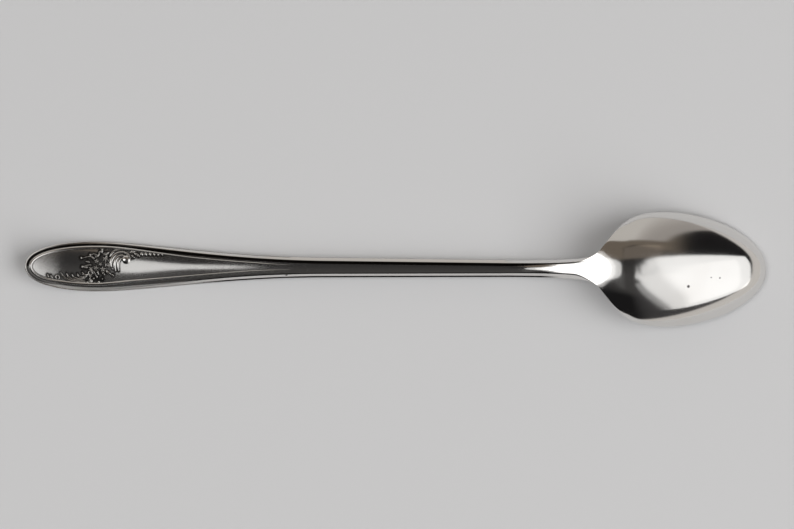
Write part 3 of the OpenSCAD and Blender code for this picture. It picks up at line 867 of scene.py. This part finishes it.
def satin_rim(form, plan):
    """Worn, satin metal along the near edge of the handle."""
    s = plan[:, 0]
    inset = form.half_width(s) - np.abs(plan[:, 1])
    run = ease(4 * MM, 10 * MM, s) * (1 - ease(34 * MM, 52 * MM, s))
    return (1 - ease(0.85 * MM, 1.1 * MM, inset)) * run * (plan[:, 1] < 0)


def panel_tarnish_and_shade(form, plan):
    """Tarnish with painted shade on the handle's panels: at the thread's foot and round the ornament."""
    half_thread = 0.5 * form.ornament.thread_w * (1 - 0.5 * ease(20 * MM, 45 * MM, plan[:, 0]))
    foot = nearest(plan, thread_line(form)[0]) - half_thread
    line = (1 - ease(0.04 * MM, 0.22 * MM, np.abs(foot))) * (1 - ease(48 * MM, 60 * MM, plan[:, 0]))
    drawn = [p for p, width in SCROLL] + [smooth_path(p) for p in FAN + STALKS] + end_scroll_paths()
    dotted = (*BLOSSOMS, *SPRAY_LEAVES, *BUDS, *SCROLL_LEAVES, *BALL, *bead_places())
    dots = np.array([p[:2] for p in dotted])
    # Painted shade round the ornament: the ground darkens within a fixed distance of every stroke and dot
    near = np.minimum(nearest(plan, np.vstack(drawn) * MM) - 0.3 * MM, nearest(plan, dots * MM) - 0.6 * MM)
    return np.maximum(0.8 * line, 0.95 * (1 - ease(0.0, 0.4 * MM, near)))


# Worn spots on the back, as distance along, distance across and radius in millimetres
WORN_SPOTS = ((169.6, -4.3, 0.46), (177.8, -2.1, 0.26), (175.5, -2.0, 0.2), (67.0, -1.9, 0.4))


def silver_finish(name, darkness, dull):
    """Polished silver with fine scratches, haze and worn spots, darkened by its attribute for tarnish and
    painted shade.
    """
    finish = bpy.context.scene.spoon_finish
    form = spoon_form()
    material = bpy.data.materials.new(name)
    material.use_nodes = True
    material.node_tree.nodes.clear()
    tree = Tree(material.node_tree)
    place = tree.add("ShaderNodeTexCoord", output="Object")
    recess = tree.add("ShaderNodeAttribute", {"attribute_name": "recess"}, output="Fac")
    satin = tree.add("ShaderNodeAttribute", {"attribute_name": "satin"}, output="Fac")
    along = tree.add("ShaderNodeSeparateXYZ", None, {"Vector": place}, "X")
    wear = along.step(form.x(form.neck_at), form.x(form.wide_at))
    rubbed = along.step(form.x(11 * MM), form.x(6 * MM))

    def noise(scale, turn, detail):
        stretched = tree.add(
            "ShaderNodeMapping", {"vector_type": "POINT"},
            {"Vector": place, "Scale": scale, "Rotation": (0.0, 0.0, math.radians(turn))})
        return tree.add("ShaderNodeTexNoise", None, {"Vector": stretched, "Scale": 1.0, "Detail": detail})

    haze = noise((160, 160, 160), 0, 4.0)
    patches = noise((45, 45, 45), 20, 3.0)
    scratches = noise((500, 9000, 3000), 12, 2.0) + noise((7000, 450, 3000), -25, 2.0)
    grain = noise((2600, 2600, 2600), 0, 3.0)
    spots = None
    for s, y, radius in WORN_SPOTS:
        centre = form.on_back(s * MM, y * MM)
        distance = tree.add("ShaderNodeVectorMath", {"operation": "DISTANCE"}, {0: place, 1: centre}, "Value")
        spot = 1 - distance.step(0.45 * radius * MM, 1.1 * radius * MM)
        spots = spot if spots is None else spots.larger(spot)
    # Darkening from the attribute is tarnish in the hollows together with painted shade; the worn spots are
    # real
    dark = (recess * darkness).larger(spots * 0.85)
    cloudy = tree.mix(patches.step(0.45, 0.75) * 0.10, tuple(finish.silver), tuple(finish.pit))
    colour = tree.mix(dark, cloudy, tuple(finish.tarnish_and_shade_tint))
    roughness = finish.polish + dull + wear * 0.03 + rubbed * 0.1 + (haze - 0.5) * 0.04 + (grain - 0.5) * 0.1
    roughness = roughness + recess * 0.2 + spots * 0.2 + satin * 0.4
    bump = tree.add(
        "ShaderNodeBump", None,
        {"Strength": 0.25, "Distance": 0.006 * MM, "Height": scratches * 0.6 + grain * 0.5 - spots * 6.0})
    shader = tree.add("ShaderNodeBsdfPrincipled", None, {
        "Base Color": colour, "Metallic": 1.0, "Roughness": roughness, "Normal": bump})
    tree.add("ShaderNodeOutputMaterial", None, {"Surface": shader})
    return material


def finish_named(slot):
    """The finish of a slot, made on first use."""
    name, darkness, dull = {POLISHED: ("bright_silver", 1.0, 0.0), AGED: ("aged_silver", 0.95, 0.04)}[slot]
    return bpy.data.materials.get(name) or silver_finish(name, darkness, dull)


def strap(name, start, end, steps):
    """Closed length of the spoon between two places, with tarnish and painted shade along its edges."""
    form = spoon_form()
    s = np.linspace(start, end, steps)
    piece = loft(name, form, s, form.half_width(s))
    shade_smooth(piece)
    seam_normals(form, piece, [start, end])
    attribute(piece, "recess", dark_lines(form, *plan_of(piece)))
    piece.data.materials.append(finish_named(POLISHED))
    finish_piece(piece, name)


def aged_ridges(name, paths, girths, width, height, side=1):
    """Ridges of old silver along paths that are drawn on the panel in millimetres."""
    form = spoon_form()
    lines = [form.on_panel(p * MM, side) for p in paths]
    finish_piece(ridges(name, lines, girths, width, height, finish_named(AGED)), name)


def aged_studs(name, unit, places, height, side=1, node=None):
    """Studs of old silver on the panel, for the node of the same name or for another one."""
    piece = studs(name, unit, spoon_form(), places, height, finish_named(AGED), side)
    finish_piece(piece, node or name)


class SPOON_OT_bowl(Operator):
    """Bowl: the round back, the flat lip and the dish inside it"""

    bl_idname = "spoon.bowl"
    bl_label = "Bowl"

    def execute(self, context):
        form = spoon_form()
        steps = np.linspace(0, 1, 96)
        plan = np.vstack([form.shoulder.at(steps), form.tip.at(steps[1:])])
        dish = np.vstack([form.dish_rear.at(steps), form.dish_tip.at(steps[1:])])
        outer = form.ring(plan[:, 0], plan[:, 1])
        s, w = dish[:, :1], dish[:, 1:]
        across = ACROSS[:, ::-1]
        hollow = form.underside(s) + form.dish_height(s) * bowl_shape(across)
        inner = np.stack([form.x(s) + 0 * hollow, w * across, hollow], axis=-1)
        left, right = BACK_POINTS + 1 + CORNER_POINTS, outer.shape[1] - CORNER_POINTS
        rings = np.concatenate([outer[:, :left], inner, outer[:, right:]], axis=1)
        rows, cols = rings.shape[:2]
        lip = left + inner.shape[1]
        cap = (*range(left), *range(lip, cols))
        piece = mesh_object("bowl", rings.reshape(-1, 3), skin(rows, cols) + [cap, (left - 1, left, lip)])
        close_up(piece)
        shade_smooth(piece)
        seam_normals(form, piece, [form.bowl_at])
        attribute(piece, "recess", np.zeros(len(piece.data.vertices)))
        piece.data.materials.append(finish_named(POLISHED))
        finish_piece(piece, "bowl")
        return {"FINISHED"}


class SPOON_OT_neck(Operator):
    """Neck: the flare between stem and bowl"""

    bl_idname = "spoon.neck"
    bl_label = "Neck"

    def execute(self, context):
        form = spoon_form()
        strap("neck", form.neck_at, form.bowl_at, 110)
        return {"FINISHED"}


class SPOON_OT_stem(Operator):
    """Stem: the long shank with bevelled edges"""

    bl_idname = "spoon.stem"
    bl_label = "Stem"

    def execute(self, context):
        form = spoon_form()
        strap("stem", form.stem_at, form.neck_at, 60)
        return {"FINISHED"}


class SPOON_OT_handle(Operator):
    """Handle: the plate with a sunk panel on each face"""

    bl_idname = "spoon.handle"
    bl_label = "Handle"

    def execute(self, context):
        form = spoon_form()
        ornament_to = 37 * MM
        end = form.end.at(np.linspace(0.004, 1, 110))
        near = np.linspace(form.sizes.handle_peak, ornament_to, 106)[1:]
        far = np.linspace(ornament_to, form.stem_at, 80)[1:]
        s = np.concatenate([end[:, 0], near, far])
        w = np.concatenate([end[:, 1], form.taper.height(near), form.taper.height(far)])
        piece = loft("handle", form, s, w)
        shade_smooth(piece)
        seam_normals(form, piece, [form.stem_at])
        plan, back = plan_of(piece)
        attribute(piece, "recess", np.maximum(dark_lines(form, plan, back), panel_tarnish_and_shade(form, plan)))
        attribute(piece, "satin", satin_rim(form, plan))
        piece.data.materials.append(finish_named(POLISHED))
        finish_piece(piece, "handle")
        return {"FINISHED"}


class SPOON_OT_borders(Operator):
    """Borders: the rim band and the thread round each face of the handle"""

    bl_idname = "spoon.borders"
    bl_label = "Borders"

    def execute(self, context):
        form = spoon_form()
        o = form.ornament
        front_edge = form.sizes.front_bevel
        front_rim = outline_path(form, front_edge + o.rim_band / 2)
        front_thread = outline_path(form, o.rim_band + o.groove_w + 0.75 * front_edge + o.thread_w / 2)
        share = form.border(front_rim[:, 0]) / o.border_h
        bands = (
            ("back_rim", *rim_line(form), o.rim_band, 1), ("back_thread", *thread_line(form), o.thread_w, 1),
            ("front_rim", front_rim, share, o.rim_band, -1),
            ("front_thread", front_thread, share, o.thread_w - front_edge / 2, -1))
        for name, path, girth, width, side in bands:
            piece = ridges(
                name, [form.on_panel(path, side)], [girth], width, o.border_h, finish_named(POLISHED))
            finish_piece(piece, name)
        return {"FINISHED"}


class SPOON_OT_scrolls(Operator):
    """Scrolls: the ridges of the C-scroll and its ball, on both faces"""

    bl_idname = "spoon.scrolls"
    bl_label = "Scrolls"

    def execute(self, context):
        o = context.scene.spoon_ornament
        ball_h = BALL_RISE * o.scroll_h
        paths = [p for p, width in SCROLL]
        girths = [swell(len(p), 0.4, 0.35) * width for p, width in SCROLL]
        aged_ridges("back_scroll", paths, girths, MM, o.scroll_h)
        aged_studs("back_scroll_ball", round_stud(), BALL, ball_h)
        aged_ridges("front_scroll", paths, girths, MM, o.scroll_h * o.front_relief, -1)
        aged_studs("front_scroll_ball", round_stud(), BALL, ball_h, -1, "front_scroll")
        return {"FINISHED"}


class SPOON_OT_leaves(Operator):
    """Leaves: behind the ball of the scroll"""

    bl_idname = "spoon.leaves"
    bl_label = "Scroll leaves"

    def execute(self, context):
        aged_studs("back_scroll_leaves", leaf_stud(), SCROLL_LEAVES, context.scene.spoon_ornament.leaf_h)
        return {"FINISHED"}


class SPOON_OT_beads(Operator):
    """Bead row: along the border, shrinking towards the stem"""

    bl_idname = "spoon.beads"
    bl_label = "Bead row"

    def execute(self, context):
        aged_studs("back_bead_row", round_stud(), bead_places(), context.scene.spoon_ornament.leaf_h)
        return {"FINISHED"}


class SPOON_OT_blossoms(Operator):
    """Blossoms: the spray on both faces"""

    bl_idname = "spoon.blossoms"
    bl_label = "Blossoms"

    def execute(self, context):
        for name, side in (("back_blossoms", 1), ("front_blossoms", -1)):
            aged_studs(name, blossom_stud(), blossom_places(), context.scene.spoon_ornament.blossom_h, side)
        return {"FINISHED"}


class SPOON_OT_stalks(Operator):
    """Stalks, leaves and buds of the spray"""

    bl_idname = "spoon.stalks"
    bl_label = "Stalks and buds"

    def execute(self, context):
        o = context.scene.spoon_ornament
        paths = [smooth_path(p, 6) for p in STALKS]
        aged_ridges("back_stalks", paths, [swell(len(p), 0.4) for p in paths], STALK_W, STALK_RISE * o.leaf_h)
        aged_studs("back_spray_leaves", leaf_stud(), SPRAY_LEAVES, o.leaf_h, node="back_stalks")
        aged_studs("back_buds", round_stud(), bud_places(), o.leaf_h)
        return {"FINISHED"}


class SPOON_OT_fans(Operator):
    """Leaf fans: the curved strokes along the border, on both faces"""

    bl_idname = "spoon.fans"
    bl_label = "Leaf fans"

    def execute(self, context):
        o = context.scene.spoon_ornament
        paths = [smooth_path(p) for p in FAN]
        girths = [swell(len(p), 0.3, 0.4) for p in paths]
        aged_ridges("back_leaf_fan", paths, girths, FAN_W, o.leaf_h)
        aged_ridges("front_leaf_fan", paths, girths, FAN_W, o.leaf_h * o.front_relief, -1)
        return {"FINISHED"}


class SPOON_OT_end_scroll(Operator):
    """End scroll: the small curl near the handle end"""

    bl_idname = "spoon.end_scroll"
    bl_label = "End scroll"

    def execute(self, context):
        paths = end_scroll_paths()
        girths = [swell(len(p), 0.4) for p in paths]
        aged_ridges("back_end_scroll", paths, girths, END_SCROLL_W, context.scene.spoon_ornament.leaf_h)
        return {"FINISHED"}


class SPOON_OT_stage(Operator):
    """Stage: the pale table, the softboxes and the warm card, the dark room and the camera"""

    bl_idname = "spoon.stage"
    bl_label = "Stage"

    def execute(self, context):
        scene = context.scene
        stage_floor(scene.spoon_finish)
        softbox("softbox_right", (1.472, -0.552, 1.0), (1.6, 2.0), 20, 10.4)
        softbox("softbox_right_middle", (1.06, -0.5, 0.99), (0.8, 1.3), 20, 0.55)
        softbox("softbox_right_edge", (0.654, -0.892, 1.0), (0.19, 1.84), 20, 0.93)
        softbox("softbox_right_step", (0.368, 0.039, 1.0), (0.07, 0.095), 20, 0.0178)
        softbox("softbox_right_low_step", (0.314, -0.003, 1.0), (0.06, 0.055), 20, 0.0088)
        softbox("softbox_right_fade", (0.527, -0.965, 1.0), (0.1, 1.7), 20, 0.13)
        softbox("softbox_corner", (0.24, -0.05, 1.0), (0.08, 0.08), 65, 0.014)
        softbox("softbox_left_edge", (-0.615, 0.0, 1.0), (0.9, 0.26), 0, 0.41, "ELLIPSE")
        softbox("softbox_left_middle", (-0.69, 0.0, 0.99), (0.55, 0.55), 45, 0.38)
        softbox("softbox_left", (-0.81, 0.0, 0.98), (0.55, 0.55), 45, 1.0)
        softbox("warm_card", (0.165, 0.28, 1.0), (0.57, 0.34), 0, 0.072, tone=(1.0, 0.82, 0.65))
        softbox("fill_right", (1.76, -1.68, 1.0), (1.9, 4.4), 15, 75.0, mirrored=False)
        softbox("fill_left", (-0.77, 0.0, 1.0), (0.66, 0.7), 0, 5.0, "ELLIPSE", mirrored=False)
        dark_room(scene)
        overhead_camera(scene)
        scene.view_settings.view_transform = "Standard"
        return {"FINISHED"}


def stage_floor(finish):
    """Plain pale table, far larger than the picture."""
    half = 4.0
    corners = [(-half, -half, 0), (half, -half, 0), (half, half, 0), (-half, half, 0)]
    floor = mesh_object("table", corners, [(0, 1, 2, 3)])
    material = bpy.data.materials.new("table")
    material.use_nodes = True
    material.node_tree.nodes.clear()
    tree = Tree(material.node_tree)
    place = tree.add("ShaderNodeTexCoord", output="Object")
    mottle = tree.add("ShaderNodeTexNoise", None, {"Vector": place, "Scale": 9.0, "Detail": 3.0})
    colour = tree.mix(mottle * 0.06, tuple(finish.floor), tuple(0.8 * c for c in finish.floor))
    shader = tree.add("ShaderNodeBsdfPrincipled", None, {
        "Base Color": colour, "Roughness": 0.8, "Specular IOR Level": 0.2})
    tree.add("ShaderNodeOutputMaterial", None, {"Surface": shader})
    floor.data.materials.append(material)


def softbox(name, centre, size, turn, power, shape="RECTANGLE", mirrored=True, tone=(1.0, 1.0, 1.0)):
    """Level softbox that shines straight down, turned in plan; a fill lamp is not mirrored in the metal."""
    light = bpy.data.lights.new(name, "AREA")
    light.shape = shape
    light.size, light.size_y = size
    light.energy = power
    light.color = tone
    lamp = bpy.data.objects.new(name, light)
    lamp.location = centre
    lamp.rotation_euler = (0.0, 0.0, math.radians(turn))
    lamp.visible_camera = False
    lamp.visible_glossy = mirrored
    bpy.context.scene.collection.objects.link(lamp)


def dark_room(scene):
    """Dim room with a low pale wall, a tall pale card behind the table and a warm dusk beside it."""
    world = bpy.data.worlds.new("room")
    world.use_nodes = True
    world.node_tree.nodes.clear()
    tree = Tree(world.node_tree)
    direction = tree.add("ShaderNodeTexCoord", output="Generated")
    x = tree.add("ShaderNodeSeparateXYZ", None, {"Vector": direction}, "X")
    y = tree.add("ShaderNodeSeparateXYZ", None, {"Vector": direction}, "Y")
    z = tree.add("ShaderNodeSeparateXYZ", None, {"Vector": direction}, "Z")
    across = x + 0.25 * z
    card = (y - 0.75 * z + 0.35 * x).step(-0.05, 0.05) * (1 - across.step(0.545, 0.575))
    dusk = y.step(0.06, 0.14) * (1 - x.step(0.36, 0.48)) * z.step(0.92, 0.88).larger(x.step(-0.16, -0.2))
    halo = x.step(-0.1, -0.2) * y.step(0.0, -0.03) * z.step(0.9, 0.95)
    glow = x.step(-0.1, 0.35) * y.step(0.1, -0.3)
    wall = (z - 0.56 * x + 0.13 * y).step(-0.09, -0.15)
    colour = tree.mix(y.step(0.03, -0.03), (0.03, 0.029, 0.029), (0.055, 0.053, 0.052))
    colour = tree.mix(z.step(0.95, 0.8), colour, (0.011, 0.0105, 0.011))
    colour = tree.mix(glow, colour, (0.055, 0.053, 0.054))
    colour = tree.mix(halo, colour, (0.085, 0.083, 0.082))
    colour = tree.mix(dusk, colour, (0.15, 0.125, 0.10))
    pale = tree.mix(across.step(0.15, 0.5), (0.54, 0.515, 0.485), (0.34, 0.315, 0.295))
    colour = tree.mix(card, colour, pale)
    colour = tree.mix(wall, colour, (0.60, 0.575, 0.55))
    background = tree.add("ShaderNodeBackground", None, {"Color": colour, "Strength": 1.0})
    tree.add("ShaderNodeOutputWorld", None, {"Surface": background})
    scene.world = world


def overhead_camera(scene):
    """Camera straight above the spoon, framed as the picture is."""
    height = 0.8
    data = bpy.data.cameras.new("camera")
    data.type = "PERSP"
    data.sensor_fit = "HORIZONTAL"
    data.sensor_width = 36.0
    seen = (cad_high.x - cad_low.x) * PHOTO_WIDTH / (SPOON_TO - SPOON_FROM)
    data.lens = data.sensor_width * height / seen
    data.clip_start, data.clip_end = 0.01, 20.0
    camera = bpy.data.objects.new("camera", data)
    camera.location = (0.13 * MM, 0.9 * MM, height)
    camera.rotation_euler = (0.0, 0.0, math.radians(0.3))
    scene.collection.objects.link(camera)
    scene.camera = camera


OPERATORS = (
    SPOON_OT_bowl, SPOON_OT_neck, SPOON_OT_stem, SPOON_OT_handle, SPOON_OT_borders, SPOON_OT_scrolls,
    SPOON_OT_leaves, SPOON_OT_beads, SPOON_OT_blossoms, SPOON_OT_stalks, SPOON_OT_fans, SPOON_OT_end_scroll,
    SPOON_OT_stage)


class SPOON_PT_panel(Panel):
    """Sizes, finish and pieces of the spoon"""

    bl_label = "Spoon"
    bl_idname = "SPOON_PT_panel"
    bl_space_type = "VIEW_3D"
    bl_region_type = "UI"
    bl_category = "Spoon"

    def draw(self, context):
        scene = context.scene
        for group in (scene.spoon_sizes, scene.spoon_ornament, scene.spoon_finish):
            box = self.layout.box()
            for name in group.__annotations__:
                box.prop(group, name)
        for operator in OPERATORS:
            self.layout.operator(operator.bl_idname)


GROUPS = {"spoon_sizes": SpoonSizes, "spoon_ornament": SpoonOrnament, "spoon_finish": SpoonFinish}


def register():
    for kind in (*GROUPS.values(), *OPERATORS, SPOON_PT_panel):
        bpy.utils.register_class(kind)
    for name, group in GROUPS.items():
        setattr(bpy.types.Scene, name, PointerProperty(type=group))


def unregister():
    for name in GROUPS:
        delattr(bpy.types.Scene, name)
    for kind in reversed((*GROUPS.values(), *OPERATORS, SPOON_PT_panel)):
        bpy.utils.unregister_class(kind)


def main():
    register()
    for operator in OPERATORS:
        area, name = operator.bl_idname.split(".")
        getattr(getattr(bpy.ops, area), name)()


if __name__ == "__main__":
    main()
